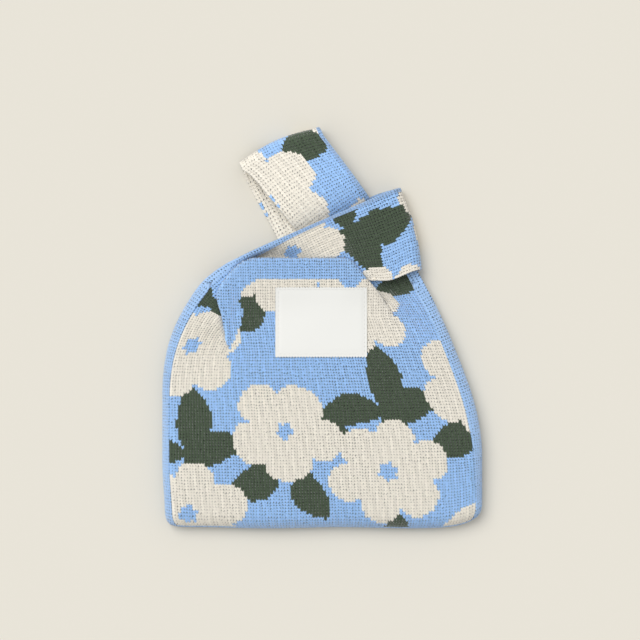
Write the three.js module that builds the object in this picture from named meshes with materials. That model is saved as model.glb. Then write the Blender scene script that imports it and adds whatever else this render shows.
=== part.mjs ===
// Knitted knot handbag lying on its back: a pouch with a short and a long flat handle loop.
// The long loop lies through the short one. Millimetres, +Z up, +Y from the bottom to the handles.
import * as THREE from 'three';

// Cloth
const fabricThickness = 2.4;
const pieceGap = 0.35;
const layerStep = 3.3;

// Pouch, from its bottom edge up to the shoulder line where the handles begin
const pouchWidth = 225;
const pouchHeight = 171;
const leftShoulderInset = 28;
const leftTaperHeight = 81;
const leftTaperCurve = 2.4;
const rightShoulderInset = 41.5;
const rightTaperHeight = 121;
const rightTaperCurve = 1.75;
const edgeRadius = 10;
const edgeHeight = 6.5;
const frontEdgeRise = 8.5;
const crownRise = 7.8;
const shoulderCrown = 0.3;
const shoulderDip = 5;
const dipStart = 25;
const dipWidth = 25;
const dipHeight = 45;
const sideBandWidth = 7;
const bottomSeamWidth = 2.6;
const seamEndInset = 3.5;

// Plain hems at the mouth, wider at the shoulder line than at their free edge
const hemHeight = 18.3;
const hemLeft = -73;
const hemRight = 36;
const hemLeftSlope = 25;
const hemRightSlope = 17;

// Short handle, from the left shoulder
const shortHandleWidth = 58;
const shortHandleLength = 148;
const shortHandleStartAngle = 42;
const shortHandleEndAngle = 23.3;
const shortHandleBend = 60;
const shortHandleEndLean = -75;
const shortLoopHeight = 12;
const shortLoopBulge = 3;

// Long handle, from the right shoulder
const longHandleWidth = 60;
const longHandleLength = 125;
const longHandleStartAngle = 118;
const longHandleEndAngle = 127.5;
const longHandleEndLean = 205;
const longLoopHeight = 10;
const longLoopBulge = 4;
const liftLineClearance = 6;
const settleLength = 25;

// Edge bands along the outer edges of both handles
const edgeBandWidth = 7;

// Sewn-on label
const labelWidth = 64;
const labelHeight = 48.2;
const labelThickness = 0.8;
const labelFromShoulder = 2.1;
const labelFromMiddle = -0.8;
const stitchInset = 1.8;
const threadWidth = 0.7;

const clothBlue = 0x7daae8;
const clothCream = 0xe8e2d4;
const clothGreen = 0x3e4e38;
const labelWhite = 0xeeeeea;

const degree = Math.PI / 180;
const clothMiddle = fabricThickness / 2;
const clamp = (value) => Math.min(Math.max(value, 0), 1);
const ease = (value) => clamp(value) ** 2 * (3 - 2 * clamp(value));

// Pouch outline in plan; y is 0 on the shoulder line and -pouchHeight at the bottom
function leftSide(y) {
  const taper = clamp((y + leftTaperHeight) / leftTaperHeight);
  return -pouchWidth / 2 + leftShoulderInset * taper ** leftTaperCurve;
}

function rightSide(y) {
  const taper = clamp((y + rightTaperHeight) / rightTaperHeight);
  return pouchWidth / 2 - rightShoulderInset * taper ** rightTaperCurve;
}

// How far a point is into the rounded rim: 1 on the outline, 0 inside the edge radius
function rimDepth(x, y) {
  const inward = Math.min(x - leftSide(y), rightSide(y) - x);
  const sideways = clamp(1 - inward / edgeRadius);
  const lengthways = clamp(1 - (y + pouchHeight) / edgeRadius);
  return clamp((sideways ** 4 + lengthways ** 4) ** 0.25);
}

function cornerInset(y) {
  const lengthways = clamp(1 - (y + pouchHeight) / edgeRadius);
  return edgeRadius * (1 - (1 - lengthways ** 4) ** 0.25);
}

const rimRise = (x, y) => Math.sqrt(1 - rimDepth(x, y) ** 2);

function frontHeight(x, y) {
  const half = (rightSide(y) - leftSide(y)) / 2;
  const sideways = clamp(1 - Math.abs((x - leftSide(y)) / half - 1) ** 2.5);
  const upward = clamp((y + pouchHeight) / (0.45 * pouchHeight));
  const towardShoulder = ease((y + 0.4 * pouchHeight) / (0.4 * pouchHeight));
  const lengthways = (1 - (1 - upward) ** 2) * (1 - (1 - shoulderCrown) * towardShoulder);
  const dip = shoulderDip * ease((x - dipStart) / dipWidth) * ease((y + dipHeight) / dipHeight);
  return edgeHeight + (frontEdgeRise - dip) * rimRise(x, y) + crownRise * sideways * lengthways;
}

const backHeight = (x, y) => edgeHeight - (edgeHeight - clothMiddle) * rimRise(x, y);

// A handle's outer edge: a line that turns from its start angle to its end angle over bendLength
function outerEdge(start, startAngle, endAngle, bendLength, length) {
  const steps = 200;
  const points = [start.clone()];
  for (let step = 0; step < steps; step += 1) {
    const travelled = ((step + 0.5) / steps) * length;
    const turnLeft = (1 - clamp(travelled / bendLength)) ** 2;
    const angle = (endAngle + (startAngle - endAngle) * turnLeft) * degree;
    const move = new THREE.Vector2(Math.cos(angle), Math.sin(angle)).multiplyScalar(length / steps);
    points.push(points[step].clone().add(move));
  }
  return (distance) => {
    const place = clamp(distance / length) * steps;
    const index = Math.min(Math.floor(place), steps - 1);
    return points[index].clone().lerp(points[index + 1], place - index);
  };
}

const shortEdge = outerEdge(
  new THREE.Vector2(leftSide(0), pieceGap),
  shortHandleStartAngle, shortHandleEndAngle, shortHandleBend, shortHandleLength,
);
const longEdge = outerEdge(
  new THREE.Vector2(rightSide(0), pieceGap),
  longHandleStartAngle, longHandleEndAngle, longHandleLength, longHandleLength,
);
const unit = (angle) => new THREE.Vector2(Math.cos(angle * degree), Math.sin(angle * degree));
const shortAcross = unit(shortHandleEndLean);
const longAcross = unit(longHandleEndLean);
const slantedWidth = (width, lean, angle) => width / Math.abs(Math.sin((lean - angle) * degree));
const shortSpan = slantedWidth(shortHandleWidth, shortHandleEndLean, shortHandleEndAngle);
const longSpan = slantedWidth(longHandleWidth, longHandleEndLean, longHandleEndAngle);

// Plan point of a handle: distance along its outer edge, offset across from that edge.
// The width is cut off along the shoulder line, where the handle's cloth meets the pouch.
function handlePlan(edge, across, span, distance, offset) {
  const start = edge(distance);
  const room = (start.y - pieceGap) / -across.y;
  return start.addScaledVector(across, Math.min(offset, span, room));
}

// Distance beyond the short handle's outer edge, where the long handle comes out from under it
const shortDirection = unit(shortHandleEndAngle);
const shortBendEnd = shortEdge(shortHandleBend);
const beyondShort = (x, y) => (y - shortBendEnd.y) * shortDirection.x - (x - shortBendEnd.x) * shortDirection.y;

// The distance along the long handle at which its free loop starts to lift
function liftLine() {
  const inner = (distance) => handlePlan(longEdge, longAcross, longSpan, distance, longSpan);
  let distance = 0;
  while (distance < longHandleLength && beyondShort(inner(distance).x, inner(distance).y) < liftLineClearance) {
    distance += 0.5;
  }
  return distance;
}
const liftDistance = liftLine();

// Heights of the cloth layers, from the table up
function overHem(x, y) {
  const sideways = Math.max(0, x - hemRight, hemLeft - x);
  const upward = Math.max(0, y - hemHeight);
  return 1 - ease(Math.hypot(sideways, upward) / (hemHeight * 0.7));
}
const stillUnderShort = (x, y) => 1 - ease((beyondShort(x, y) - liftLineClearance / 2) / settleLength);
const hemStep = fabricThickness + pieceGap;
const shortBackHeight = (x, y) => clothMiddle + hemStep * overHem(x, y);
const longBackHeight = (x, y) => clothMiddle + hemStep * overHem(x, y) + layerStep * stillUnderShort(x, y);
function longFrontHeight(x, y) {
  const settled = clothMiddle + longLoopHeight;
  const crossing = longBackHeight(x, y) + layerStep;
  return settled + (crossing - settled) * stillUnderShort(x, y);
}
const shortFrontHeight = (x, y) => clothMiddle + shortLoopHeight + (hemStep - 1) * overHem(x, y);
const hemTop = clothMiddle + shortLoopHeight + hemStep - 1 + layerStep;

// At the shoulder a handle's outer edge runs into the pouch's side, so it lies lower there
function nearShoulder(height, side, distance, offset) {
  const edgeLevel = edgeHeight + side * (clothMiddle + pieceGap * 2);
  const rise = Math.sqrt(1 - (1 - clamp(offset / edgeRadius)) ** 2);
  const level = edgeLevel + (height - edgeLevel) * rise;
  return level + (height - level) * ease(distance / (3 * edgeRadius));
}

// A closed solid of even thickness on both sides of a surface that is given over u and v from 0 to 1
function cloth(surface, across, along, thickness = fabricThickness) {
  const vertices = [];
  const small = 1e-3;
  const offsets = [thickness / 2, -thickness / 2];
  for (const offset of offsets) {
    for (let j = 0; j <= along; j += 1) {
      for (let i = 0; i <= across; i += 1) {
        const u = i / across;
        const v = j / along;
        const uStep = surface(Math.min(u + small, 1), v).sub(surface(Math.max(u - small, 0), v));
        const vStep = surface(u, Math.min(v + small, 1)).sub(surface(u, Math.max(v - small, 0)));
        const normal = uStep.cross(vStep).normalize();
        vertices.push(...surface(u, v).addScaledVector(normal, offset).toArray());
      }
    }
  }
  const row = across + 1;
  const top = (i, j) => j * row + i;
  const bottom = (i, j) => (along + 1) * row + top(i, j);
  const faces = [];
  const quad = (a, b, c, d) => faces.push(a, b, c, a, c, d);
  for (let j = 0; j < along; j += 1) {
    for (let i = 0; i < across; i += 1) {
      quad(top(i, j), top(i + 1, j), top(i + 1, j + 1), top(i, j + 1));
      quad(bottom(i, j), bottom(i, j + 1), bottom(i + 1, j + 1), bottom(i + 1, j));
    }
    quad(top(0, j), top(0, j + 1), bottom(0, j + 1), bottom(0, j));
    quad(top(across, j + 1), top(across, j), bottom(across, j), bottom(across, j + 1));
  }
  for (let i = 0; i < across; i += 1) {
    quad(top(i, 0), bottom(i, 0), bottom(i + 1, 0), top(i + 1, 0));
    quad(top(i + 1, along), bottom(i + 1, along), bottom(i, along), top(i, along));
  }
  const geometry = new THREE.BufferGeometry();
  geometry.setAttribute('position', new THREE.Float32BufferAttribute(vertices, 3));
  geometry.setIndex(faces);
  geometry.computeVertexNormals();
  return geometry;
}

const bag = new THREE.Group();
function addPiece(name, geometry, color, roughness = 0.95) {
  const piece = new THREE.Mesh(geometry, new THREE.MeshStandardMaterial({ color, roughness, metalness: 0 }));
  piece.name = name;
  bag.add(piece);
}

// Steps that are closer together near both ends, where the rim turns down
const endsFirst = (u) => (1 - Math.cos(u * Math.PI)) / 2;
const panelBottom = -pouchHeight + bottomSeamWidth + pieceGap;

// Front and back panels between the side bands
function panel(height) {
  return (u, v) => {
    const y = panelBottom * (1 - Math.sin((v * Math.PI) / 2));
    const left = leftSide(y) + cornerInset(y) + sideBandWidth + pieceGap;
    const right = rightSide(y) - cornerInset(y) - sideBandWidth - pieceGap;
    const x = left + (right - left) * endsFirst(u);
    return new THREE.Vector3(x, y, height(x, y));
  };
}
addPiece('front_panel', cloth(panel(frontHeight), 22, 22), clothCream);
addPiece('back_panel', cloth(panel(backHeight), 14, 16), clothBlue);

// Side bands fold round the pouch's left and right edges and join its panels
function sideBand(outline, inwardSign) {
  return (u, v) => {
    const around = 2 * u - 1;
    const y = panelBottom * (1 - Math.sin((v * Math.PI) / 2));
    const x = outline(y) + inwardSign * (cornerInset(y) + sideBandWidth * around ** 2);
    const height = around < 0 ? backHeight : frontHeight;
    return new THREE.Vector3(x, y, height(x, y));
  };
}
addPiece('left_side_band', cloth((u, v) => sideBand(leftSide, 1)(u, 1 - v), 10, 18), clothBlue);
addPiece('right_side_band', cloth(sideBand(rightSide, -1), 10, 18), clothBlue);

// The linked seam that closes the bottom edge
function bottomSeam(u, v) {
  const around = 2 * u - 1;
  const y = -pouchHeight + bottomSeamWidth * around ** 2;
  const left = leftSide(-pouchHeight) + seamEndInset;
  const right = rightSide(-pouchHeight) - seamEndInset;
  const x = left + (right - left) * endsFirst(v);
  const height = around < 0 ? backHeight : frontHeight;
  return new THREE.Vector3(x, y, height(x, y));
}
addPiece('bottom_seam', cloth(bottomSeam, 8, 14), clothBlue);

// Plain double hems at the mouth, one on each panel
function hem(height) {
  return (u, v) => {
    const left = hemLeft + hemLeftSlope * v ** 1.3;
    const right = hemRight - hemRightSlope * v ** 1.3;
    return new THREE.Vector3(left + (right - left) * u, pieceGap + (hemHeight - pieceGap) * v, height);
  };
}
addPiece('front_mouth_hem', cloth(hem(hemTop), 12, 4), clothBlue);
addPiece('back_mouth_hem', cloth(hem(clothMiddle), 12, 4), clothBlue);

// One layer of a handle, from distance `from` to `to` along it and between two offsets across it
const acrossRoom = (handle, distance) => (handle.edge(distance).y - pieceGap) / -handle.across.y;
function handleLayer(handle, side, from, to, inner, outer) {
  const { edge, across, span, bulge, length } = handle;
  const height = side > 0 ? handle.frontHeight : handle.backHeight;
  return (u, v) => {
    const distance = from + (to - from) * v;
    const offset = inner + (Math.min(outer, acrossRoom(handle, distance)) - inner) * u;
    const plan = handlePlan(edge, across, span, distance, offset);
    const outward = bulge * Math.sin((offset / span) * Math.PI) * ease((distance / length) * 2 - 1);
    plan.addScaledVector(handle.endDirection, outward);
    const z = nearShoulder(height(plan.x, plan.y), side, distance, offset);
    return new THREE.Vector3(plan.x, plan.y, z);
  };
}

// The bend at a loop's far end, from its front layer round to its back layer
function loopEnd(handle) {
  const { edge, across, span, bulge, length, loopHeight } = handle;
  return (u, v) => {
    const offset = span * u;
    const plan = handlePlan(edge, across, span, length, offset);
    const turn = (0.5 - v) * Math.PI;
    const outward = bulge * Math.sin(u * Math.PI) + pieceGap + (loopHeight / 2) * Math.cos(turn);
    plan.addScaledVector(handle.endDirection, outward);
    return new THREE.Vector3(plan.x, plan.y, clothMiddle + (loopHeight / 2) * (1 + Math.sin(turn)));
  };
}

const shortHandle = {
  edge: shortEdge,
  across: shortAcross,
  span: shortSpan,
  bulge: shortLoopBulge,
  length: shortHandleLength,
  loopHeight: shortLoopHeight,
  frontHeight: shortFrontHeight,
  backHeight: shortBackHeight,
  endDirection: unit(shortHandleEndLean + 90),
};
const longHandle = {
  edge: longEdge,
  across: longAcross,
  span: longSpan,
  bulge: longLoopBulge,
  length: longHandleLength,
  loopHeight: longLoopHeight,
  frontHeight: longFrontHeight,
  backHeight: longBackHeight,
  endDirection: unit(longHandleEndLean - 90),
};

// A handle's cloth runs the full width inside its edge band. Both start at the shoulder line
const narrowest = 2;
function startOf(handle, offset) {
  let distance = 0;
  while (acrossRoom(handle, distance) < offset + narrowest) {
    distance += 0.5;
  }
  return distance;
}

function addStretch(handle, name, from, to, steps, clothColor) {
  const bandEnd = edgeBandWidth - pieceGap / 2;
  const clothStart = edgeBandWidth + pieceGap / 2;
  const turned = (surface) => (handle === shortHandle ? (u, v) => surface(1 - u, v) : surface);
  for (const [layer, side] of [['front', 1], ['back', -1]]) {
    const stripFrom = Math.max(from, startOf(handle, clothStart));
    const bandFrom = Math.max(from, startOf(handle, 0));
    const strip = handleLayer(handle, side, stripFrom, to, clothStart, handle.span);
    const band = handleLayer(handle, side, bandFrom, to, 0, bandEnd);
    addPiece(name.replace('LAYER', layer), cloth(turned(strip), 6, steps), clothColor);
    addPiece(`${name.replace('LAYER', layer)}_edge_band`, cloth(turned(band), 2, steps), clothBlue);
  }
}
addStretch(shortHandle, 'short_handle_LAYER', 0, shortHandleLength, 22, clothCream);
addPiece('short_handle_loop_end', cloth((u, v) => loopEnd(shortHandle)(u, v), 8, 8), clothGreen);
addStretch(longHandle, 'long_handle_LAYER_root', 0, liftDistance - pieceGap / 2, 12, clothGreen);
addStretch(longHandle, 'long_handle_LAYER_loop', liftDistance + pieceGap / 2, longHandleLength, 9, clothCream);
addPiece('long_handle_loop_end', cloth((u, v) => loopEnd(longHandle)(1 - u, v), 8, 8), clothCream);

// The label follows the front panel's crown
const labelCentre = -labelFromShoulder - labelHeight / 2;
const labelLift = clothMiddle + pieceGap + labelThickness / 2;
function onLabel(u, v, lift) {
  const x = labelFromMiddle + labelWidth * (u - 0.5);
  const y = labelCentre + labelHeight * (v - 0.5);
  return new THREE.Vector3(x, y, frontHeight(x, y) + lift);
}
addPiece('label', cloth((u, v) => onLabel(u, v, labelLift), 8, 6, labelThickness), labelWhite, 0.6);

// Four rows of thread hold the label down, each a low bar just inside one of its edges
const threadLift = labelLift + labelThickness / 2 + pieceGap + threadWidth / 2;
function stitchRow(start, end, width) {
  return (u, v) => {
    const place = start.clone().lerp(end, v);
    const sideways = new THREE.Vector2(end.y - start.y, start.x - end.x).normalize();
    place.addScaledVector(sideways, (u - 0.5) * width);
    return onLabel(place.x / labelWidth + 0.5, place.y / labelHeight + 0.5, threadLift);
  };
}
const stitchX = labelWidth / 2 - stitchInset;
const stitchY = labelHeight / 2 - stitchInset;
const rowEnd = threadWidth + pieceGap;
const rows = {
  label_stitches_top: [[stitchX, stitchY], [-stitchX, stitchY]],
  label_stitches_left: [[-stitchX, stitchY - rowEnd], [-stitchX, rowEnd - stitchY]],
  label_stitches_bottom: [[-stitchX, -stitchY], [stitchX, -stitchY]],
  label_stitches_right: [[stitchX, rowEnd - stitchY], [stitchX, stitchY - rowEnd]],
};
for (const [name, [start, end]] of Object.entries(rows)) {
  const surface = stitchRow(new THREE.Vector2(...start), new THREE.Vector2(...end), threadWidth);
  addPiece(name, cloth((u, v) => surface(1 - u, v), 1, 8, threadWidth), labelWhite, 0.7);
}

// The origin is the middle of the whole bag's footprint, on the surface it lies on
const extent = new THREE.Box3().setFromObject(bag);
const middle = extent.getCenter(new THREE.Vector3());
bag.position.set(-middle.x, -middle.y, -extent.min.z);

export default bag;
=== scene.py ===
# Knitted knot handbag lying on its back, the long handle drawn through the short one.
# Lengths in the formulas are millimetres; the meshes are in metres.
import math

import bmesh
import bpy
import numpy as np
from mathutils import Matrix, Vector


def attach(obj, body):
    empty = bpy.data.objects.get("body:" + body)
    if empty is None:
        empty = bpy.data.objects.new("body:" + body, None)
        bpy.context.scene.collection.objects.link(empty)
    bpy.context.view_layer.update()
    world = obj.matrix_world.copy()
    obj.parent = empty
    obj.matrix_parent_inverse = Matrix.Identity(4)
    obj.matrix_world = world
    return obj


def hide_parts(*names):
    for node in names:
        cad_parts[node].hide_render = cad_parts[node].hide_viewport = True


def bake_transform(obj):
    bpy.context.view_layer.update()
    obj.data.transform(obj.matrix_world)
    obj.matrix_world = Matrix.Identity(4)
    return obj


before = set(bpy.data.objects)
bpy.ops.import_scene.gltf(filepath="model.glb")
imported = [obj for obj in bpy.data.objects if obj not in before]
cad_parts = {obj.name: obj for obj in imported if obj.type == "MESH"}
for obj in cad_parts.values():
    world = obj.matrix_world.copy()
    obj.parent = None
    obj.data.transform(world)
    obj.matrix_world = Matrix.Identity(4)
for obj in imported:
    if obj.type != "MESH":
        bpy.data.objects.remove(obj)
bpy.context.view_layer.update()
mm = 0.001


# Camera: straight above the bag.
# Its lens is long, as in catalogue pictures, so the layers hardly spread with height.
def put_in_scene(name, data):
    made = bpy.data.objects.new(name, data)
    bpy.context.scene.collection.objects.link(made)
    return made


view_centre = (-1.6 * mm, 5.25 * mm)
view_height = 1.512
camera_data = bpy.data.cameras.new("camera")
camera_data.lens = 120
camera_data.sensor_width = 36
camera = put_in_scene("camera", camera_data)
camera.location = (*view_centre, view_height)
bpy.context.scene.camera = camera

# Light: a bright pale room, and one far window at the upper left.
# The window is so wide that the bag's shadow is short and soft.
scene = bpy.context.scene
scene.view_settings.view_transform = "Standard"
scene.world = scene.world or bpy.data.worlds.new("room")
scene.world.use_nodes = True
room_light = scene.world.node_tree.nodes["Background"]
room_light.inputs["Color"].default_value = (1.0, 1.0, 1.0, 1)
room_light.inputs["Strength"].default_value = 0.655
window_heading = Vector((0.48, -0.53, -1.0))
window_data = bpy.data.lights.new("window", "SUN")
window_data.angle = math.radians(42)
window_data.energy = 1.65
window_light = put_in_scene("window", window_data)
window_light.rotation_euler = window_heading.to_track_quat("-Z", "Y").to_euler()


# Floor: a seamless sheet of pale card, much wider than the picture.
# Its fine grain shows only in the material.
class Value:
    """A number socket of a shader; arithmetic on it adds Math nodes."""

    def __init__(self, socket):
        self.socket = socket

    def maths(self, operation, *others):
        return node(self.socket.id_data, "ShaderNodeMath", {"operation": operation}, [self, *others])

    def __add__(self, other):
        return self.maths("ADD", other)

    def __mul__(self, other):
        return self.maths("MULTIPLY", other)

    def __sub__(self, other):
        return self.maths("SUBTRACT", other)

    def __pow__(self, other):
        return self.maths("POWER", other)

    def __rsub__(self, other):
        return (self * -1) + other

    __radd__ = __add__
    __rmul__ = __mul__


def node(tree, kind, settings, values, output=0):
    """A shader node with its settings made first, then its sockets set or linked."""
    made = tree.nodes.new(kind)
    for name, setting in settings.items():
        setattr(made, name, setting)
    pairs = values.items() if isinstance(values, dict) else enumerate(values)
    for key, value in pairs:
        if isinstance(value, Value):
            tree.links.new(value.socket, made.inputs[key])
        else:
            made.inputs[key].default_value = value
    return Value(made.outputs[output])


def finish_material(name, roughness, settings):
    """A new material; returns it with its node tree and its shader."""
    material = bpy.data.materials.new(name)
    material.use_nodes = True
    shader = material.node_tree.nodes["Principled BSDF"]
    shader.inputs["Roughness"].default_value = roughness
    for socket, value in settings.items():
        shader.inputs[socket].default_value = value
    return material, material.node_tree, shader


def feed(shader, socket, value):
    shader.id_data.links.new(value.socket, shader.inputs[socket])


def feed_bump(shader, height, distance, strength):
    """A relief on the surface, `distance` metres deep where the height goes from 0 to 1."""
    sockets = {"Height": height, "Distance": distance, "Strength": strength}
    feed(shader, "Normal", node(shader.id_data, "ShaderNodeBump", {}, sockets))


def mixed_colour(tree, share, first, second, kind="MIX"):
    """Two colours mixed; 6, 7 and 2 are the Mix node's colour sockets."""
    return node(tree, "ShaderNodeMix", {"data_type": "RGBA", "blend_type": kind},
                {0: share, 6: first, 7: second}, 2)


card_dark, card_light = (0.745, 0.712, 0.632, 1), (0.755, 0.722, 0.642, 1)
card_half = 3.0
card, tree, shader = finish_material("pale_card", 0.9, {"Specular IOR Level": 0.1})
place = node(tree, "ShaderNodeTexCoord", {}, {}, "Object")
grain = node(tree, "ShaderNodeTexNoise", {}, {"Vector": place, "Scale": 900.0, "Detail": 3.0})
feed(shader, "Base Color", mixed_colour(tree, grain, card_dark, card_light))
feed_bump(shader, grain, 0.00005, 0.2)
shape = bmesh.new()
bmesh.ops.create_grid(shape, x_segments=8, y_segments=8, size=card_half)
floor_mesh = bpy.data.meshes.new("floor")
shape.to_mesh(floor_mesh)
shape.free()
floor_mesh.materials.append(card)
floor = put_in_scene("floor", floor_mesh)


# Front panel: double-faced jacquard knit in three cotton yarns, worked from the bottom up.
# Its middle third ends at the mouth; the side thirds run on as the two handles.
# It lies over the back panel and over both handles, and rolls under at its edges.
pouch_half = 112.5
shoulder = 31.37
bottom = shoulder - 171
# How far each side draws in towards the shoulder, and the height over which it does
left_draw, left_draw_height = 28, 81
right_draw, right_draw_height = 41.5, 121
# The rolled rim, the height of its outermost line, and the rise of the panel inside it
edge_radius = 10
edge_height = 5.4
rim_height = 9.4
# The crown in the panel's middle, and how much lower the cloth lies by the right pleat
crown = 7.6
right_dip = 6.4
# Half the cloth's thickness, and how far a side band laps over a panel
cloth_half = 1.0
band_overlap = 1.4
# The width and height of a stitch, and the stitches across a panel
wale = 1.9
course = 2.05
panel_wales = 106


def ease(value):
    """0 up to 0, 1 from 1 on, and a soft rise between them."""
    value = np.clip(value, 0, 1)
    return value * value * (3 - 2 * value)


def hump(distance, width):
    """1 at no distance, falling away softly on both sides."""
    return np.exp(-((distance / width) ** 2))


def left_side(y):
    """The pouch's left outline. Near the bottom it sags inwards a little."""
    sag = 2 * ease((bottom + 45 - y) / 45)
    drawn = np.clip((y - shoulder + left_draw_height) / left_draw_height, 0, 1)
    return -pouch_half + left_draw * drawn ** 2.4 + sag


def right_side(y):
    """The pouch's right outline, with a slight hollow below the shoulder."""
    sag = 1.4 * hump(y + 20, 28)
    drawn = np.clip((y - shoulder + right_draw_height) / right_draw_height, 0, 1)
    return pouch_half - right_draw * drawn ** 1.75 - sag


def left_band_width(y):
    return 5 + 1.8 * ease((y + 60) / 70)


def right_band_width(y):
    return 4.5 + 3.4 * ease((y + 130) / 70)


def settled(x, y):
    """Plan y as the cloth lies: the bottom corners pulled up, the bottom edge a little uneven."""
    right = np.maximum(right_side(bottom) - x, 0)
    left = np.maximum(x - left_side(bottom), 0)
    raised = 9.5 * np.exp(-((right / 10) ** 1.2)) + 3 * np.exp(-((left / 6) ** 1.2))
    raised = raised + 0.45 * np.sin(x / 16 + 0.8) - 0.5
    return y + raised * (1 - ease((y - bottom) / 65))


def dents(x, y):
    """Soft unevenness of the front, the two pleats' creases that run out below their tips,
    and the valley beside the right pleat."""
    waves = 0.4 * np.sin(x / 15 + y / 40 + 1) * np.sin(y / 13) + 0.3 * np.sin(x / 27 - y / 18)
    right = (x - 50.5) * 0.82 + (y - 7.8) * 0.57
    left = x + 65.3 - 0.1 * (y + 18.8)
    crease = 1.5 * hump(right, 4) * ease((y + 22) / 26)
    crease = crease + 4.4 * hump(right - 8, 7) * ease((y + 14) / 30)
    crease = crease + 0.9 * hump(left, 4) * ease((y + 50) / 28)
    return waves - crease


def corner_inset(y):
    """How far the outline draws in to round the bottom corners."""
    lengthways = np.clip(1 - (y - bottom) / edge_radius, 0, 1)
    return edge_radius * (1 - (1 - lengthways**4) ** 0.25)


def rim_rise(x, y):
    """1 on the flat of a panel, falling to 0 round the pouch's edge."""
    inward = np.minimum(x - left_side(y), right_side(y) - x)
    sideways = np.clip(1 - inward / edge_radius, 0, 1)
    lengthways = np.clip(1 - (y - bottom) / edge_radius, 0, 1)
    depth = np.clip((sideways**4 + lengthways**4) ** 0.25, 0, 1)
    return np.sqrt(1 - depth**2)


def front_height(x, y):
    """Middle of the front cloth on the pouch: a rim, and a crown that fades to the shoulder."""
    half = (right_side(y) - left_side(y)) / 2
    sideways = np.clip(1 - np.abs((x - left_side(y)) / half - 1) ** 2.5, 0, 1)
    upward = np.clip((y - bottom) / 77, 0, 1)
    lengthways = (1 - (1 - upward) ** 2) * (1 - 0.7 * ease((y - shoulder + 68.4) / 68.4))
    dip = right_dip * ease((x - 25) / 25) * ease((y - shoulder + 45) / 45)
    rim = rim_rise(x, y)
    return edge_height + (rim_height - dip) * rim + crown * sideways * lengthways + dents(x, y) * rim


def run_along(points):
    """The distance travelled at each point of a line."""
    return np.concatenate([[0], np.cumsum(np.hypot(*np.diff(points, axis=0).T))])


def smooth_path(points, spacing, reach):
    """Evenly spaced points along a polyline whose corners are softened over `reach`."""
    points = np.array(points, float)
    travelled = run_along(points)
    stations = np.linspace(0, travelled[-1], int(travelled[-1] / spacing) + 1)
    even = np.stack([np.interp(stations, travelled, points[:, k]) for k in (0, 1)], 1)
    width = int(reach / spacing)
    padded = np.concatenate([
        2 * even[0] - even[width:0:-1], even, 2 * even[-1] - even[-2 : -width - 2 : -1]
    ])
    weights = np.hanning(2 * width + 3)[1:-1]
    weights /= weights.sum()
    return np.stack([np.convolve(padded[:, k], weights, "valid") for k in (0, 1)], 1)


# The mouth's folded edge, from the tip of the left pleat over the lip to the right pleat.
# Both tips are on the boundary between two courses.
left_tip = (-65.3, -18.83)
right_tip = (50.5, 7.82)
mouth_step = 2.0
mouth = smooth_path(
    [left_tip, (-68.4, 1.3), (-69.8, 9.4), (-72.4, 16.2), (-73.6, 24), (-69.6, 31.8), (-61.6, 41.2),
     (-54.8, 46.6), (-45, 48.8), (-15.6, 48.1), (14, 48.5), (20, 47.2), (29.4, 35.1), (37.2, 26.8),
     (44.5, 16.9), right_tip], mouth_step, 5.0)
mouth_along = run_along(mouth)


def from_mouth(x, y):
    """Distance inside the mouth's edge, the nearest point on it, its inward direction, and
    the distance along the edge to the nearer pleat tip."""
    x, y = np.atleast_1d(x), np.atleast_1d(y)
    close = (y > left_tip[1] - 8) & ((y > 24) | (x < -50) | (x > 15))
    inside, to_tip = np.full(x.shape, 99.0), np.zeros(x.shape)
    near, inward = np.zeros((*x.shape, 2)), np.zeros((*x.shape, 2))
    inside[close], near[close], inward[close], to_tip[close] = measure_mouth(x[close], y[close])
    return inside, near, inward, to_tip


def measure_mouth(x, y):
    """What `from_mouth` gives, for points that are near the mouth."""
    start, step = mouth[:-1], np.diff(mouth, axis=0)
    point = np.stack([x, y], -1)[..., None, :]
    along = np.clip(((point - start) * step).sum(-1) / (step**2).sum(-1), 0, 1)
    near = start + along[..., None] * step
    apart = np.hypot(*np.moveaxis(point - near, -1, 0))
    best = apart.argmin(-1)[..., None]
    near = np.take_along_axis(near, best[..., None], -2)[..., 0, :]
    gap = np.stack([x, y], -1) - near
    heading = step[best[..., 0]] / np.hypot(*step.T)[best[..., 0]][..., None]
    inward = np.stack([heading[..., 1], -heading[..., 0]], -1)
    side = np.sign((gap * inward).sum(-1))
    place = mouth_along[best[..., 0]] + np.take_along_axis(along, best, -1)[..., 0] * mouth_step
    to_tip = np.minimum(place, mouth_along[-1] - place)
    return side * np.take_along_axis(apart, best, -1)[..., 0], near, inward, to_tip


# The lip's height over both handles, and how much lower it is over the long one alone
lip_top = 18.3
lip_fall = 3.8


def lip_height(x, y):
    """Middle of the front cloth: the pouch's crown, lifted over the handles at the mouth."""
    lip = lip_top - lip_fall * ease((x - 12) / 28)
    height = front_height(x, y)
    return height + (lip - height) * ease((y - 4) / 30) * ease((x + 95) / 40) * (1 - ease((x - 40) / 15))


# The cloth's way round the rim, and what of it the bottom seam hides
rim_length = 14.2
seam_hidden = 2.0


def row_place(rows):
    """Plan y of a course, counted from the bottom edge, where the courses go round the rim."""
    travelled = rows * course + seam_hidden
    round_rim = bottom + edge_radius * (1 - np.cos(np.clip(travelled / rim_length, 0, 1) * math.pi / 2))
    return np.where(travelled < rim_length, round_rim, bottom + edge_radius + travelled - rim_length)


# The courses below each pleat's tip, and in the whole panel up to the lip
left_tip_row, right_tip_row, lip_row = 60, 73, 97


def panel_plan(across, rows):
    """Plan place of a stitch. Above the pleats' tips the wales run straight up."""
    y = row_place(rows)
    left_y, right_y = np.minimum(y, left_tip[1]), np.minimum(y, right_tip[1])
    left = left_side(left_y) + corner_inset(y) + left_band_width(left_y) - band_overlap
    right = right_side(right_y) - corner_inset(y) - right_band_width(right_y) + band_overlap
    return left + (right - left) * across / panel_wales, y


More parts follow.
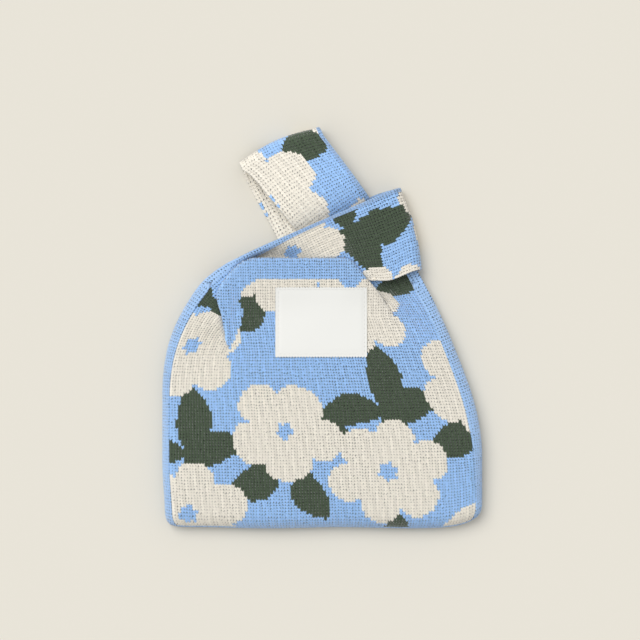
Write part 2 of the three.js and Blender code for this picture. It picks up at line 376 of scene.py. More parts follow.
def pitch_at(rows):
    """The width of a stitch in the panel's plan at a course."""
    return float(panel_plan(1.0, rows)[0] - panel_plan(0.0, rows)[0])


# The wales at which the pleats part the handles from the middle third
left_split = round((left_tip[0] - float(panel_plan(0, left_tip_row)[0])) / pitch_at(left_tip_row))
right_split = round((right_tip[0] - float(panel_plan(0, right_tip_row)[0])) / pitch_at(right_tip_row))
# The fold at the mouth: its radius, the tighter one at a pleat's tip, and how far from the
# tip it is full
fold_radius = 1.15
tip_radius = 0.2
fold_opens = 28
# Courses of the side thirds that go on past a tip, tucked under the pleat
tuck_rows = 2.6


def panel(height, facing):
    """The surface of the front (facing 1) or back (-1) cloth, folded under at the mouth."""

    def surface(across, rows):
        across = across if facing > 0 else panel_wales - across
        x, y = panel_plan(across, rows)
        inside, near, inward, to_tip = from_mouth(x, y)
        radius = tip_radius + (fold_radius - tip_radius) * ease(to_tip / fold_opens)
        beyond = radius - inside
        turn = np.clip(beyond / radius, 0, math.pi)
        back = radius - radius * np.sin(turn) + np.maximum(0, beyond - math.pi * radius)
        past_tip = rows - np.where(x < 0, left_tip_row, right_tip_row)
        tucks = ((across < left_split) | (across > right_split)) & (past_tip < tuck_rows)
        folds = (beyond > 0) & (past_tip > -0.6) & (to_tip > 0.01) & ~tucks
        x = np.where(folds, near[..., 0] + inward[..., 0] * back, x)
        y = np.where(folds, near[..., 1] + inward[..., 1] * back, y)
        z = height(x, y) - facing * np.where(folds, radius * (1 - np.cos(turn)), 0)
        under = np.where(tucks, np.maximum(0, past_tip), 0)
        z = z - facing * (0.9 * under + 0.2 * under**2)
        return np.stack([x, settled(x, y), z], -1)

    return surface


def panel_keep(across, rows):
    """Which stitches of a panel's grid are cloth; beyond the pleats the handles take over."""
    x, y = panel_plan(across, rows)
    inside, _, _, to_tip = from_mouth(x, y)
    margin = np.clip(0.3 * to_tip, 0, 8)
    left = (across < left_split) & (rows > left_tip_row + 2)
    right = (across > right_split) & (rows > right_tip_row + 2)
    return np.where(left | right | (y > 30), inside > -margin, True)


# The share of a cloth's thickness left in its outermost stitches
edge_thinning = 0.75


def knit(name, wales, courses, surface, half, material, columns=4, keep=None, yarn=None,
         turn_row=None, relief=0.3, soft_ends=True):
    """A closed cloth of V stitches over `surface(across, rows)`, whose arguments count
    stitches. `half` is half its thickness: a number, or a function of across and rows.
    The Vs point the other way from `turn_row` on. The side edges are thinned, and the
    first and last courses too where the ends are soft."""
    shape = bmesh.new()
    wide, long = wales * columns + 2, courses + 2
    bmesh.ops.create_grid(shape, x_segments=wide, y_segments=long, size=0.5)
    outer_points = len(shape.verts)
    under = bmesh.ops.create_grid(shape, x_segments=wide, y_segments=long, size=0.5)
    under_faces = {face for vert in under["verts"] for face in vert.link_faces}
    bmesh.ops.reverse_faces(shape, faces=list(under_faces))
    mesh = bpy.data.meshes.new(name)
    shape.to_mesh(mesh)
    shape.free()

    grid = np.empty(len(mesh.vertices) * 3)
    mesh.vertices.foreach_get("co", grid)
    grid = grid.reshape(-1, 3)[:, :2] + 0.5
    column = np.rint(grid[:, 0] * wide).astype(int)
    line = np.rint(grid[:, 1] * long).astype(int)
    across = np.clip(column - 1, 0, wales * columns) / columns
    rows = np.clip(line - 1, 0, courses).astype(float)
    rim = (column == 0) | (column == wide) | (line == 0) | (line == long)
    side = np.where(np.arange(len(grid)) < outer_points, 1.0, -1.0)

    loops = np.empty(len(mesh.loops), int)
    mesh.loops.foreach_get("vertex_index", loops)
    corners = loops.reshape(-1, 4)
    middle_across = across[corners].mean(1)
    middle_rows = rows[corners].mean(1)
    if keep is not None:
        kept = keep(middle_across, middle_rows)
        lost = np.zeros(len(grid), bool)
        lost[corners[~kept].ravel()] = True
        rim |= lost

    # Each wale is two legs that lean together, so its middle trails half a course behind
    within = across % 1
    leg = 1 - np.abs(2 * within - 1)
    flip = 1.0 if turn_row is None else np.sign(turn_row - rows)
    shifted = rows - 0.5 * leg * flip

    def point(a, r):
        return surface(np.clip(a, 0, wales), r)

    small = 0.02
    centre = surface(across, shifted)
    step_across = point(across + small, shifted) - point(across - small, shifted)
    step_along = surface(across, shifted + small) - surface(across, shifted - small)
    normal = np.cross(step_across, step_along)
    normal /= np.maximum(np.linalg.norm(normal, axis=1), 1e-9)[:, None]
    # Deep between two wales, high on the legs, and a shallow groove between them
    ridge = np.where(within == 0, -1.0, np.where(within == 0.5, -0.2, 0.55)) * relief
    thick = half(across, shifted) if callable(half) else np.full(len(grid), float(half))
    thinned = (column <= 1) | (column >= wide - 1)
    if soft_ends:
        thinned |= (line <= 1) | (line >= long - 1)
    thick = np.where(thinned, thick * edge_thinning, thick)
    lift = np.where(rim, 0, side * (thick + ridge))
    place = (centre + normal * lift[:, None]) * mm
    mesh.vertices.foreach_set("co", place.ravel())

    # The stitches' own map, and a second one with the two faces side by side for baking
    stitches = mesh.uv_layers.new(name="stitches")
    stitches.data.foreach_set("uv", np.stack([across, rows], 1)[loops].ravel())
    bake = mesh.uv_layers.new(name="OFBake")
    shelf = np.stack([0.005 + 0.485 * grid[:, 0] + 0.5 * (side < 0), 0.005 + 0.99 * grid[:, 1]], 1)
    bake.data.foreach_set("uv", shelf[loops].ravel())
    if yarn is not None:
        colour = yarn(np.floor(middle_across), np.floor(middle_rows))
        colour = np.concatenate([colour, np.ones((len(colour), 1))], 1)
        attribute = mesh.attributes.new("yarn", "FLOAT_COLOR", "CORNER")
        attribute.data.foreach_set("color", np.repeat(colour, 4, 0).ravel().astype(np.float32))

    # The stitches that aren't cloth go, and the two faces are closed along their edges
    shape = bmesh.new()
    shape.from_mesh(mesh)
    if keep is not None:
        shape.faces.ensure_lookup_table()
        bmesh.ops.delete(shape, geom=[shape.faces[k] for k in np.flatnonzero(~kept)], context="FACES")
    bmesh.ops.remove_doubles(shape, verts=shape.verts, dist=2e-6)
    bmesh.ops.dissolve_degenerate(shape, dist=1e-7, edges=shape.edges)
    for face in shape.faces:
        face.smooth = True
    shape.to_mesh(mesh)
    shape.free()
    mesh.set_sharp_from_angle(angle=math.radians(75))
    mesh.materials.append(material)
    return put_in_scene(name, mesh)


# Yarn colours, and how a stitch of the pattern gets one
blue_yarn = (0.32, 0.525, 0.845)
band_yarn = (0.35, 0.54, 0.84)
cream_yarn = (0.79, 0.745, 0.655)
green_yarn = (0.064, 0.09, 0.056)


def blossom(a, b, petals, size, turned):
    """Above 0 inside a flat blossom of round petals, `size` from its middle to their tips."""
    inside = 1 - np.hypot(a, b) / (0.36 * size)
    for petal in range(petals):
        angle = turned + 2 * math.pi * petal / petals
        reach = size * (1 + 0.06 * math.sin(2.3 * petal + turned * 5))
        radial = a * math.cos(angle) + b * math.sin(angle) - 0.56 * reach
        aside = b * math.cos(angle) - a * math.sin(angle)
        wide = 2.05 * size / petals * (1 + 0.05 * math.cos(3.7 * petal))
        wide = wide * (1 + 0.25 * np.clip(radial / (0.44 * reach), -1, 1))
        inside = np.maximum(inside, 1 - np.hypot(radial / (0.44 * reach), aside / wide))
    return inside


def leaf(a, b, start, angle, length, width, bend):
    """Above 0 inside a pointed leaf that grows from `start` and bows to one side."""
    along = ((a - start[0]) * math.cos(angle) + (b - start[1]) * math.sin(angle)) / length
    aside = (b - start[1]) * math.cos(angle) - (a - start[0]) * math.sin(angle)
    aside = aside + bend * length * along * (1 - along)
    wide = width * np.sin(np.clip(along, 0, 1) ** 1.25 * math.pi) ** 0.8
    return np.where((along > 0) & (along < 1), wide - np.abs(aside), -9)


# Each blossom: its middle, petals, size and turn, then leaves as angle, distance from the
# middle, length, half width and bow
blossoms = [
    ((30, 34), 6, 38, 0.28, [(2.62, 22, 54, 12, 0.5), (4.72, 24, 50, 12, -0.5), (0.55, 26, 46, 12, 0.5)]),
    ((96, 92), 5, 36, 1.0, [(0.2, 20, 50, 11, -0.5), (3.5, 22, 50, 12, 0.5), (5.1, 22, 44, 11, 0.4)]),
]
repeat_across, repeat_along, repeat_drop = 132, 118, 30
first_across, first_along = 18, 22


def yarn_colour(across, rows):
    """Colour of each stitch: two blossoms with leaves on blue, in a repeat that drops."""
    a, b = (across + 0.5) * wale + first_across, (rows + 0.5) * course + first_along
    petal, eye, green = np.full(a.shape, -9.0), np.full(a.shape, -9.0), np.full(a.shape, -9.0)
    for aside in (-1, 0, 1):
        tile = np.floor(a / repeat_across) + aside
        lowered = b - tile * repeat_drop
        for level in (-1, 0, 1):
            for middle, petals, size, turned, leaves in blossoms:
                near_a = a - tile * repeat_across - middle[0]
                near_b = lowered - (np.floor(lowered / repeat_along) + level) * repeat_along - middle[1]
                petal = np.maximum(petal, blossom(near_a, near_b, petals, size, turned))
                spread = np.arctan2(near_b, near_a)
                reach = size * 0.15 * (1 + 0.22 * np.cos(petals * (spread - turned)))
                eye = np.maximum(eye, reach - np.hypot(near_a, near_b))
                for angle, out, length, width, bow in leaves:
                    start = (out * math.cos(angle), out * math.sin(angle))
                    green = np.maximum(green, leaf(near_a, near_b, start, angle, length, width, bow))
    colour = np.where((green > 0)[:, None], green_yarn, blue_yarn)
    colour = np.where((petal > 0)[:, None], cream_yarn, colour)
    return np.where((eye > 0)[:, None], blue_yarn, colour)


def uneven(colour, across, rows):
    """Each stitch pulled a little tighter or looser takes the light differently."""
    tone = 1 + 0.08 * np.sin(across * 12.9898 + rows * 78.233) * np.cos(across * 4.1 - rows * 3.3)
    return colour * tone[:, None]


# The plain hem's width at the lip, and its right end: a slant that stops at hem_right_top
hem_width = 14.5
hem_right, hem_right_top = 27.5, 33.5


def panel_yarn(across, rows):
    """The blossom pattern, with plain blue for the hem and down the left pleat."""
    x, y = panel_plan(across + 0.5, rows + 0.5)
    inside, _, _, to_tip = from_mouth(x, y)
    right_end = np.where(y > hem_right_top, 99, hem_right - (hem_right_top - y))
    hem = (inside < hem_width * ease((to_tip + 4) / 34)) & (x < right_end) & (rows > left_tip_row + 1)
    hem &= (across >= left_split) | (rows > left_tip_row + 2.5) | (inside > 0)
    return uneven(np.where(hem[:, None], blue_yarn, yarn_colour(across, rows)), across, rows)


def split_place(tree, place):
    """The first two parts of a place."""
    first = node(tree, "ShaderNodeSeparateXYZ", {}, [place])
    return first, Value(first.socket.node.outputs[1])


def noise(tree, place, scale, detail):
    return node(tree, "ShaderNodeTexNoise", {}, {"Vector": place, "Scale": scale, "Detail": detail})


def yarn_material(name, colour=None):
    """Matt cotton yarn in V stitches: shade painted dark between the legs, the legs painted a little
    lighter, twisted strands, a little fuzz.
    Without a colour it takes each stitch's own."""
    material, tree, shader = finish_material(
        name, 0.88, {"Sheen Weight": 0.8, "Sheen Roughness": 0.38, "Specular IOR Level": 0.18})
    uv = node(tree, "ShaderNodeUVMap", {"uv_map": "stitches"}, {})
    across, rows = split_place(tree, uv)
    sway = noise(tree, uv, 0.45, 1.0)
    across, rows = across + sway * 0.8 - 0.4, rows + sway * 0.8 - 0.4
    side = ((across * 2).maths("FRACT") * 2 - 1).maths("ABSOLUTE")
    along = (rows.maths("FRACT") * 2 - 1).maths("ABSOLUTE")
    between = (across.maths("FRACT") * 2 - 1).maths("ABSOLUTE")
    leg = (1 - side ** 2.5) * (1 - along ** 3)
    place = node(tree, "ShaderNodeTexCoord", {}, {}, "Object")
    fuzz = noise(tree, place, 3500.0, 3.0)
    patch = noise(tree, place, 35.0, 2.0)
    pull = noise(tree, uv, 0.9, 1.0)
    if colour is None:
        yarn = node(tree, "ShaderNodeAttribute", {"attribute_name": "yarn"}, {}, "Color")
    else:
        yarn = node(tree, "ShaderNodeRGB", {}, {})
        yarn.socket.default_value = (*colour, 1)
    # Painted shade in the gaps between the stitches, which also deepens the bump; light passes on through
    # pale yarn, so there the painted gap shade is weaker
    pale = node(tree, "ShaderNodeSeparateColor", {}, [yarn])
    loose = (pull * 4 - 1) * (patch * 2.2 - 0.1) * (1.6 - pale * 1.2)
    gap = ((between ** 3) * (along ** 3) * 1.9 + (along ** 4) * 0.12) * loose
    twist = (rows * 25 + (across * 12.6).maths("SINE") * 3).maths("SINE")
    # The colour's multiplier: random tone from fuzz and patches, a painted highlight on the legs, less
    # the painted shade of the gaps
    light = (1.03 + fuzz * 0.06 + patch * 0.08 + leg * 0.05 - gap).maths("MAXIMUM", 0.05)
    tint = node(tree, "ShaderNodeCombineColor", {}, [light, light, light])
    feed(shader, "Base Color", mixed_colour(tree, 1.0, yarn, tint, "MULTIPLY"))
    feed_bump(shader, leg + twist * 0.07 * leg + fuzz * 0.25 - gap * 0.7, 0.0005, 0.6)
    feed(shader, "Roughness", fuzz * 0.15 + 0.8)
    return material


patterned_knit = yarn_material("patterned_knit")
plain_knit = yarn_material("plain_blue_knit", band_yarn)

front = knit("front_cloth", panel_wales, lip_row, panel(lip_height, 1), cloth_half, patterned_knit,
             keep=panel_keep, yarn=panel_yarn)
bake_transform(front)
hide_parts("front_panel", "front_mouth_hem")


# Back panel: the same cloth as the front, face down on the table, with the mouth's back hem.
# Its flat lies on the table; its rim rises to meet the front's.
back_level = 1.2


def back_height(x, y):
    return edge_height - (edge_height - back_level) * rim_rise(x, y)


def back_yarn(across, rows):
    return panel_yarn(panel_wales - 1 - across, rows)


def back_keep(across, rows):
    return panel_keep(panel_wales - across, rows)


back = knit("back_cloth", panel_wales, lip_row, panel(back_height, -1), cloth_half, patterned_knit,
            keep=back_keep, yarn=back_yarn)
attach(back, "root")
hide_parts("back_panel", "back_mouth_hem")


# Side bands: plain blue knit, worked lengthways, a little padded by their own rolled edges.
# Each is linked round the pouch's edge to both panels, and tucks under a handle at the top.
side_wales = 12
band_rows = 85
# How far a band stands proud of the panels' edge, and the least height of its middle
band_proud = 1.2
band_rests = 1.7
# How deep its end tucks in, over its last rows
end_tuck = 0.9
end_rows = 8


def side_band(outline, width, sign):
    """A band's surface, from the front round the pouch's edge to the back."""

    def surface(across, rows):
        y = np.minimum(row_place(rows), shoulder + 2)
        turn = (1 - across / (side_wales / 2)) * np.arccos(1 - width(y) / edge_radius) * sign
        slope = outline(y + 0.5) - outline(y - 0.5)
        square = np.stack([np.ones_like(slope), -slope], -1) / np.hypot(1, slope)[..., None] * sign
        edge = np.stack([outline(y) + sign * corner_inset(y), y], -1)
        on_rim = edge + square * (edge_radius * (1 - np.cos(turn)))[..., None]
        inset = square * band_proud * np.cos(turn)[..., None]
        lies_on = (on_rim + inset * ease(np.abs(turn) / 0.7)[..., None]).T
        tucked = end_tuck * ease((rows - band_rows + end_rows) / end_rows)
        under = np.maximum(back_height(*lies_on), band_rests) + tucked
        z = np.where(turn > 0, front_height(*lies_on) - tucked, under)
        x, y = (on_rim + inset).T
        return np.stack([x, settled(x, y), z], -1)

    return surface


def tube(share, half, least, power=4):
    """Half thickness of a padded band: full in its middle, `least` where `share` nears 0 or 1."""
    return np.maximum(half * (1 - np.abs(np.clip(share, 0, 1) * 2 - 1) ** power) ** (1 / power), least)


def side_band_half(across, rows):
    ending = ease((rows - band_rows + end_rows) / end_rows)
    return tube(across / side_wales, 1.5 - 0.5 * ending, 1.35 - 0.35 * ending)


for side, outline, width, sign in (
        ("left", left_side, left_band_width, 1), ("right", right_side, right_band_width, -1)):
    band = knit(side + "_band_knit", side_wales, band_rows, side_band(outline, width, sign),
                side_band_half, plain_knit, relief=0.15)
    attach(band, "root")
    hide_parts(side + "_side_band")


# Short handle: the left third of the cloth, carried on past the shoulder, folded at its far
# end and brought back. The long handle lies through its loop.
handle_wales = 28
handle_half = 0.95


def unit(angle):
    return np.stack([np.cos(angle), np.sin(angle)], -1)


class Handle:
    """A handle's outer edge in plan, its layers' heights and the fold at its far end. Courses
    run out along the front layer, round the far end and back along the back layer."""

    def __init__(self, path, tip, tip_row, sign, lean, width, band_width, radius, bulge,
                 front, back, slack):
        self.path, self.tip_row, self.sign, self.width = path, tip_row, sign, width
        self.lean, self.radius, self.bulge = math.radians(lean), radius, bulge
        self.band_width, self.front, self.back, self.slack = band_width, front, back, slack
        self.first_pitch = pitch_at(tip_row)
        along = run_along(path)
        # The first points climb the pouch's side, where y alone tells how far along they are
        self.along = along - np.interp(tip[1], path[:12, 1], along[:12])
        self.at_shoulder = float(np.interp(shoulder, path[:45, 1], self.along[:45]))
        self.length = self.along[-1]
        heading = np.unwrap(np.arctan2(*np.diff(path, axis=0).T[::-1]))
        self.heading = np.concatenate([heading, heading[-1:]])
        self.outward = unit(self.lean + sign * math.pi / 2)
        self.rows = round(self.length / course)
        self.end_rows = round(math.pi * radius / course)
        self.turn_row = self.rows + self.end_rows
        self.all_rows = 2 * self.rows + self.end_rows

    def travelled(self, rows):
        """Distance along the outer edge of a course on either layer."""
        return np.minimum(np.minimum(rows, self.all_rows - rows) / self.rows, 1) * self.length

    def band(self, travelled):
        """Width of the edge band that shows; it rolls over the edge as the handle narrows."""
        full = self.band_width(np.interp(travelled, self.along, self.path[:, 1]))
        return full - (full - 2.5) * ease((travelled - self.at_shoulder + 5) / 110)

    def plan(self, rows, offset):
        """Plan place `offset` in from the outer edge. The courses are level at the pouch, then
        square to the handle, and lean as its fold does at the far end."""
        travelled = self.travelled(rows)
        layer = np.where(rows < self.rows + self.end_rows / 2, 1, -1)
        shift, spread = self.slack(travelled, self.length, layer)
        offset = offset * spread + shift
        heading = np.interp(travelled, self.along, self.heading)
        square = heading - self.sign * math.pi / 2
        level = 0.0 if self.sign > 0 else math.pi
        turned = ease(travelled / 55)
        angle = level + (square - level) * turned
        angle = angle + (self.lean - angle) * ease((travelled - self.length + 60) / 60)
        stretch = 1 + (1 / np.abs(np.sin(angle - heading)) - 1) * turned
        start = np.stack([np.interp(travelled, self.along, self.path[:, k]) for k in (0, 1)], -1)
        bulge = self.bulge * np.sin(np.clip(offset / self.width, 0, 1) * math.pi)
        bulge = bulge * ease(2 * travelled / self.length - 1)
        return start + unit(angle) * (offset * stretch)[..., None] + self.outward * bulge[..., None]

    def point(self, offset, rows):
        """A point on the middle of the cloth, `offset` in from the outer edge."""
        travelled = self.travelled(rows)
        plan = self.plan(rows, offset)
        x, y = plan[..., 0], plan[..., 1]
        turn = np.clip((rows - self.rows) / self.end_rows, 0, 1) * math.pi
        front = self.front(x, y, travelled, offset)
        back = self.back(x, y, travelled)
        z = (front + back) / 2 + (front - back) / 2 * np.cos(turn)
        push = self.radius * np.sin(turn)
        return np.stack([x + self.outward[0] * push, y + self.outward[1] * push, z], -1)

    def offset(self, stitches, rows):
        """Offset of a wale, counted from the band; the wales spread from the panel's pitch."""
        travelled = self.travelled(rows)
        begin = self.band(travelled) - band_overlap
        even = (self.width - begin) / handle_wales
        return begin + stitches * (self.first_pitch + (even - self.first_pitch) * ease(travelled / 50))

    def surface(self, across, rows):
        """The cloth's surface; its wales are counted from the left, as the panel's are."""
        stitches = across if self.sign > 0 else handle_wales - across
        return self.point(self.offset(stitches, rows), rows)


def turning_edge(start, start_angle, end_angle, bend, length):
    """Points that go on from `start` and swing to the end angle within `bend`."""
    points = [np.array(start, float)]
    steps = 200
    for step in range(steps):
        turn = (1 - min((step + 0.5) / steps * length / bend, 1)) ** 2
        angle = math.radians(end_angle + (start_angle - end_angle) * turn)
        points.append(points[-1] + unit(angle) * length / steps)
    return points


def over_hem(x, y):
    """1 where the back panel's hem lies below a handle."""
    aside = np.maximum(0, np.maximum(x - 36, -73 - x))
    return 1 - ease(np.hypot(aside, np.maximum(0, y - shoulder - 18.3)) / 12.8)


# The depth from the lip to a front layer, the height from the table to a back layer on the
# hem there, and how much the hem lifts both
lip_room = 4.6
hem_room = 2.9
hem_lift = 2.75


def under_lip(z, x, y):
    """Lower a handle's front layer where the front panel's hem lies on it."""
    inside, _, _, to_tip = from_mouth(x, y)
    drop = lip_room * ease(to_tip / 24) * ease((inside + 5) / 6)
    drop = np.maximum(drop, 2.3 * ease((inside + 0.5) / 3))
    drop = np.maximum(drop, 1.1 * hump(inside, 1.8))
    return np.where(inside > -5, np.minimum(z, lip_height(x, y) - drop), z)


def above_hem(z, x, y):
    """Lift a handle's back layer where it lies on the back panel's hem."""
    inside, _, _, to_tip = from_mouth(x, y)
    least = back_level + hem_room * ease(to_tip / 24) * ease((inside + 5) / 6)
    return np.maximum(z, least)


# The height of the pouch's outer edge at the shoulder
shoulder_edge = 8.4


def cloth_edge_drop(z, travelled, offset, near_from, near_to):
    """By the shoulder a front layer rounds down to the pouch's edge."""
    round_edge = np.sqrt(1 - (1 - np.clip((offset + 0.01) / edge_radius, 0, 1)) ** 2)
    edge = shoulder_edge + (z - shoulder_edge) * round_edge
    near = ease((travelled - near_from) / 25) * (1 - ease((travelled - near_to) / 34))
    return z + (edge - z) * near


def leaving(height, x, y, strap, travelled, start, over):
    """From the pouch's height to the strap's, which begins at `start` and takes `over`."""
    body = height(x, np.minimum(y, shoulder))
    return body + (strap - body) * ease((travelled - start) / over)


# The handles' paths begin four courses below the pleats' tips
lead = 4 * course
path_step, path_soft = 2.0, 12
short_leaves = (20, 50)
short_lean = 23.3
short_path = smooth_path(
    [(left_side(y), y) for y in np.arange(left_tip[1] - lead, shoulder, 1.5)]
    + turning_edge((left_side(shoulder), shoulder + 0.35), start_angle=42, end_angle=short_lean,
                   bend=60, length=148), path_step, path_soft)


def short_front(x, y, travelled, offset):
    """The front layer lies over the long handle, and dips where it passes behind the lip."""
    strap = 13.6 + 1.2 * ease((x + 25) / 35) + 0.6 * over_hem(x, y)
    z = leaving(front_height, x, y, strap, travelled, *short_leaves)
    inside, _, _, _ = from_mouth(x, y)
    behind_lip = hump(np.minimum(inside, 0), 8.5) * ease((travelled - 30) / 20)
    z = z - 8.2 * behind_lip * ease((offset - 1) / 6) * ease((x + 66) / 20) * (1 - ease((x + 26) / 30))
    return under_lip(cloth_edge_drop(z, travelled, offset, 10, 58), x, y)


def short_back(x, y, travelled):
    strap = back_level + hem_lift * over_hem(x, y)
    return above_hem(leaving(back_height, x, y, strap, travelled, *short_leaves), x, y)


def short_slack(travelled, length, layer):
    """The front layer gathers towards the pouch; the back layer peeks out past the fold."""
    gathered = 0.2 * ease((length - 14 - travelled) / 42) * ease((travelled - 60) / 40)
    peek = -1.8 * hump(travelled - length + 12, 12)
    return np.where(layer > 0, 0, peek), np.where(layer > 0, 1 - gathered, 1.02)


short_handle = Handle(
    short_path, left_tip, left_tip_row, sign=1, lean=-75, width=58, band_width=left_band_width,
    radius=6.0, bulge=3.0, front=short_front, back=short_back, slack=short_slack)


def knit_handle(name, handle, first_wale, paler):
    """A handle's cloth. The panel's pattern is carried on up its front layer, and down again
    on the back one. Its yarn is made paler than the pouch's, rising to full over its first courses."""

    def colours(across, rows):
        level = np.where(rows < handle.turn_row, rows, handle.all_rows - 1 - rows)
        # The yarn is made paler by `paler`, rising over the courses below the shoulder
        tone = 1 + (paler - 1) * ease((level - 8) / 20)
        pattern = yarn_colour(across + first_wale, level + handle.tip_row)
        return uneven(pattern * tone[:, None], across, rows)

    piece = knit(name, handle_wales, handle.all_rows, handle.surface, handle_half, patterned_knit,
                 yarn=colours, turn_row=handle.turn_row, soft_ends=False)
    return piece


short_cloth = knit_handle("short_handle", short_handle, 0, 1.04)
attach(short_cloth, "root")
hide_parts("short_handle_front", "short_handle_loop_end", "short_handle_back")


# Long handle: the right third of the cloth. It passes through the short handle's loop, over
# the back layers and under the front one, and its free loop folds back near the top.
long_leaves = (4, 34)
layer_step = 2.3
loop_height = 13
long_path = smooth_path(
    [(right_side(y), y) for y in np.arange(right_tip[1] - lead, shoulder, 1.5)]
    + turning_edge((right_side(shoulder), shoulder + 0.35), start_angle=118, end_angle=127.5,
                   bend=125, length=125), path_step, path_soft)


def beyond_short(x, y):
    """Distance past the short handle's outer edge, where the long handle comes out."""
    last = short_path[-1]
    heading = math.radians(short_lean)
    return (y - last[1]) * math.cos(heading) - (x - last[0]) * math.sin(heading)


def under_short(x, y):
    """1 where the short handle lies on the long one, which slopes ever more steeply down to it."""
    return np.clip(1 - beyond_short(x, y) / 24, 0, 1) ** 2.2


def long_front(x, y, travelled, offset):
    crossing = back_level + hem_lift * over_hem(x, y) + 2 * layer_step
    strap = loop_height + (crossing - loop_height) * under_short(x, y)
    z = leaving(front_height, x, y, strap, travelled, *long_leaves)
    return under_lip(cloth_edge_drop(z, travelled, offset, -8, 30), x, y)


def long_back(x, y, travelled):
    strap = back_level + hem_lift * over_hem(x, y) + layer_step * under_short(x, y)
    return above_hem(leaving(back_height, x, y, strap, travelled, *long_leaves), x, y)


def long_slack(travelled, length, layer):
    """From its far end on, the loop's back layer fans out beside its front layer."""
    left = np.maximum(length - travelled, 0)
    front = -3.2 * (1 - np.exp(-left / 6)) - 1.9 * ease((left - 20) / 40)
    back = 12 * np.clip(left / 60, 0, 1) + 1.2 * (1 - np.exp(-left / 6))
    return 0, 1 + np.where(layer > 0, front, back) / 60 * ease((travelled - 45) / 30)


long_handle = Handle(
    long_path, right_tip, right_tip_row, sign=-1, lean=203.5, width=59.5,
    band_width=right_band_width, radius=5.8, bulge=4.0, front=long_front, back=long_back,
    slack=long_slack)


def blend_at_lift(piece):
    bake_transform(piece)


long_cloth = knit_handle("long_handle", long_handle, panel_wales - handle_wales, 1.12)
blend_at_lift(long_cloth)
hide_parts("long_handle_front_root", "long_handle_front_loop", "long_handle_loop_end",
            "long_handle_back_loop", "long_handle_back_root")


# Edge bands: tubular strips of plain blue knit, worked lengthways.
# Each is linked over a handle's outer edge, and goes round its far end with the cloth.
band_wales = 3
# How far it goes past the cloth's edge, and the least height of its middle
past_edge = 0.4
edge_rests = 1.8


def edge_band(name, handle):
    def outer_share(across):
        return across / band_wales if handle.sign > 0 else 1 - across / band_wales

    def surface(across, rows):
        width = handle.band(handle.travelled(rows)) + past_edge
        place = handle.point(width * outer_share(across) - past_edge, rows)
        place[..., 2] = np.maximum(place[..., 2], edge_rests)
        return place

    def half(across, rows):
        begun = ease((handle.travelled(rows) - handle.at_shoulder + 18) / 18)
        least = np.where(outer_share(across) > 0.5, 0.9 + 0.35 * begun, 0)
        return tube(outer_share(across), 0.85 + 0.55 * begun, least, 3)

    piece = knit(name, band_wales, handle.all_rows, surface, half, plain_knit,
                 turn_row=handle.turn_row, relief=0.15)
    return piece


short_band = edge_band("short_handle_edge_band", short_handle)
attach(short_band, "root")
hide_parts("short_handle_front_edge_band", "short_handle_back_edge_band")
long_band = edge_band("long_handle_edge_band", long_handle)
blend_at_lift(long_band)
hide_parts("long_handle_front_root_edge_band", "long_handle_front_loop_edge_band",
            "long_handle_back_loop_edge_band", "long_handle_back_root_edge_band")


# Bottom seam: the panels' first courses linked together with blue yarn.
# It wraps the pouch's bottom edge, a seventh of a turn to the front and to the back.
seam_wales, seam_rows = 6, 112
seam_left, seam_length = -107.5, 216
seam_depth = 2.9


def bottom_line(across, rows):
    turn = (across / seam_wales * 2 - 1) * math.pi / 3.5
    y = bottom + seam_depth * (1 - np.cos(turn))
    x = seam_left + rows * seam_length / seam_rows
    z = np.where(turn < 0, back_height(x, y), front_height(x, y))
    return np.stack([x, settled(x, y), z], -1)


def seam_half(across, rows):
    return tube(across / seam_wales, 1.2, 0.85)


seam = knit("linked_seam", seam_wales, seam_rows, bottom_line, seam_half, plain_knit, relief=0.15)
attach(seam, "root")
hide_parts("bottom_seam")

# Both panels as they come off the machine, before they are linked
kept = panel_keep(*np.indices((panel_wales, lip_row)).reshape(2, -1)).sum()


# Label: a bare rectangle of satin ribbon, laid on the front below the lip.
# It is sewn on near its four edges, where the thread pulls it down a little.
label_left, label_right = -32.8, 31.2
label_bottom, label_top = -20.1, 28.6
label_half = 0.35
label_above = 0.75
label_columns, label_lines = 32, 24
sewn_in = 1.8


def label_height(x, y):
    """Middle of the label, a little above the cloth and pulled down along its stitches."""
    sideways = np.minimum(x - label_left, label_right - x)
    edge = np.minimum(sideways, np.minimum(y - label_bottom, label_top - y))
    pulled = 0.35 * hump(edge - sewn_in, 1.2)
    waves = 0.12 * np.sin(x / 9 + 1) * np.sin(y / 7)
    return lip_height(x, y) + cloth_half + label_above - pulled + waves


def label_surface(across, rows):
    x = label_left + (label_right - label_left) * across / label_columns
    y = label_bottom + (label_top - label_bottom) * rows / label_lines
    return np.stack([x, y, label_height(x, y)], -1)


label_white = (0.805, 0.803, 0.768, 1)
warp_pitch, weft_pitch = 0.00045, 0.00035
label_cloth, tree, shader = finish_material(
    "label_satin", 0.5, {"Sheen Weight": 0.1, "Specular IOR Level": 0.3, "Base Color": label_white})
across, along = split_place(tree, node(tree, "ShaderNodeTexCoord", {}, {}, "Object"))
warp = (across * (2 * math.pi / warp_pitch)).maths("SINE")
weft = (along * (2 * math.pi / weft_pitch)).maths("SINE")
weave = warp * 0.3 + weft * 0.7
feed_bump(shader, weave, 0.00006, 0.35)
feed(shader, "Roughness", weave * 0.04 + 0.52)
label = knit("sewn_label", label_columns, label_lines, label_surface, label_half, label_cloth,
             columns=2, relief=0.0)
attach(label, "root")
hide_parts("label")

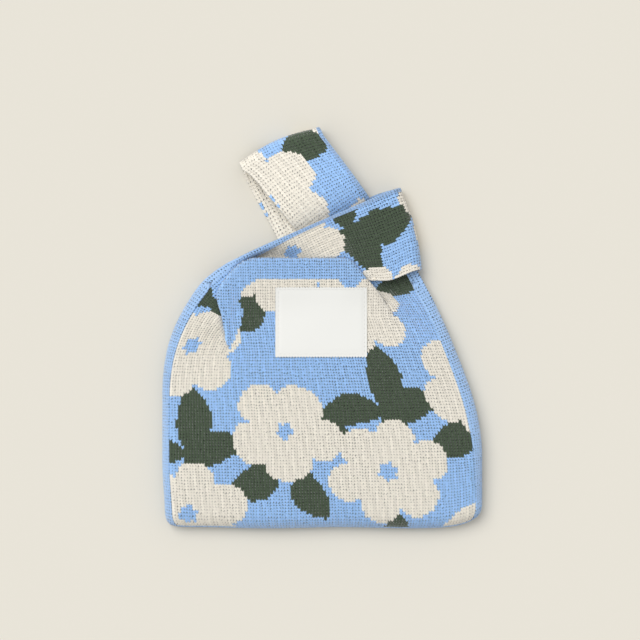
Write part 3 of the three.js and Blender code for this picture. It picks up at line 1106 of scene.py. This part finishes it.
# Stitches: white sewing thread in four rows, one short bar for each machine stitch.
# The side rows stop short of the corners, where the top and bottom rows end.
stitch_length, stitch_gap = 2.2, 0.7
thread_half, thread_arch = 0.26, 0.22
corner_gap = 2.6
sewn_left, sewn_right = label_left + sewn_in, label_right - sewn_in
sewn_bottom, sewn_top = label_bottom + sewn_in, label_top - sewn_in
rows_of_thread = {
    "top": ((sewn_right, sewn_top), (sewn_left, sewn_top)),
    "left": ((sewn_left, label_top - corner_gap), (sewn_left, label_bottom + corner_gap)),
    "bottom": ((sewn_left, sewn_bottom), (sewn_right, sewn_bottom)),
    "right": ((sewn_right, label_bottom + corner_gap), (sewn_right, label_top - corner_gap)),
}
thread_white = (0.8, 0.8, 0.77, 1)
thread, tree, shader = finish_material(
    "label_thread", 0.6, {"Sheen Weight": 0.2, "Base Color": thread_white})
place = node(tree, "ShaderNodeTexCoord", {}, {}, "Object")
strand = node(tree, "ShaderNodeTexNoise", {}, {"Vector": place, "Scale": 5000.0})
feed_bump(shader, strand, 0.0001, 0.5)
for edge, (begin, end) in rows_of_thread.items():
    begin, end = np.array(begin), np.array(end)
    run = np.hypot(*(end - begin))
    direction = (end - begin) / run
    square = np.array([-direction[1], direction[0]])
    count = int(run / (stitch_length + stitch_gap))
    shape = bmesh.new()
    for stitch in range(count):
        middle = begin + direction * (stitch + 0.5) * run / count
        made = bmesh.ops.create_uvsphere(shape, u_segments=8, v_segments=6, radius=1)
        for vert in made["verts"]:
            lengthways, aside, up = vert.co.z, vert.co.x, vert.co.y
            plan = middle + direction * lengthways * stitch_length / 2 + square * aside * thread_half
            arch = thread_arch * (1 - lengthways**2)
            z = label_height(*plan) + label_half + up * thread_half + arch
            vert.co = (plan[0] * mm, plan[1] * mm, z * mm)
    bmesh.ops.recalc_face_normals(shape, faces=shape.faces)
    mesh = bpy.data.meshes.new("thread_" + edge)
    shape.to_mesh(mesh)
    shape.free()
    for face in mesh.polygons:
        face.use_smooth = True
    mesh.materials.append(thread)
    row = put_in_scene("thread_" + edge, mesh)
    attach(row, "root")
    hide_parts("label_stitches_" + edge)
